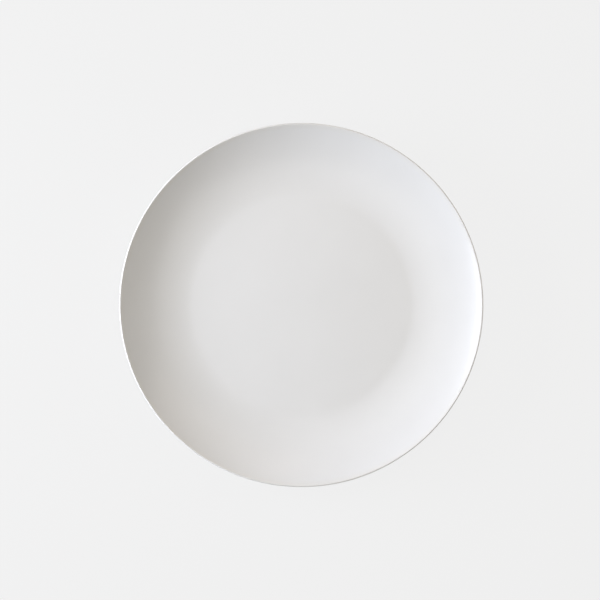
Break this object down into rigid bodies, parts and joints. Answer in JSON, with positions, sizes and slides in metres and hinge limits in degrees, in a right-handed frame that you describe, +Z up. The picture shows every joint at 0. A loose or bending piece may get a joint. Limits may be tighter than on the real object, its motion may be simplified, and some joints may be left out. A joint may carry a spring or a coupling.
{
  "type": "coupe dinner plate",
  "caption": "Round rimless dinner plate in white glazed porcelain: a flat floor that turns up at a soft edge into a curved wall with a fine rounded lip, on a low foot ring.",
  "frame": {"origin": "centre of the foot ring on the plane that it stands on", "axes": "+Z up along the axis that the plate is round about, from the foot to the open side; X and Y are free"},
  "size_m": [0.27, 0.27, 0.026],
  "materials": {
    "clay": "matte",
    "glaze": "gloss",
    "base_glaze": "gloss"
  },
  "bodies": {
    "root": {"porcelain_body": "clay", "glaze_coat": "glaze", "base_glaze": "base_glaze"}
  },
  "joints": []
}
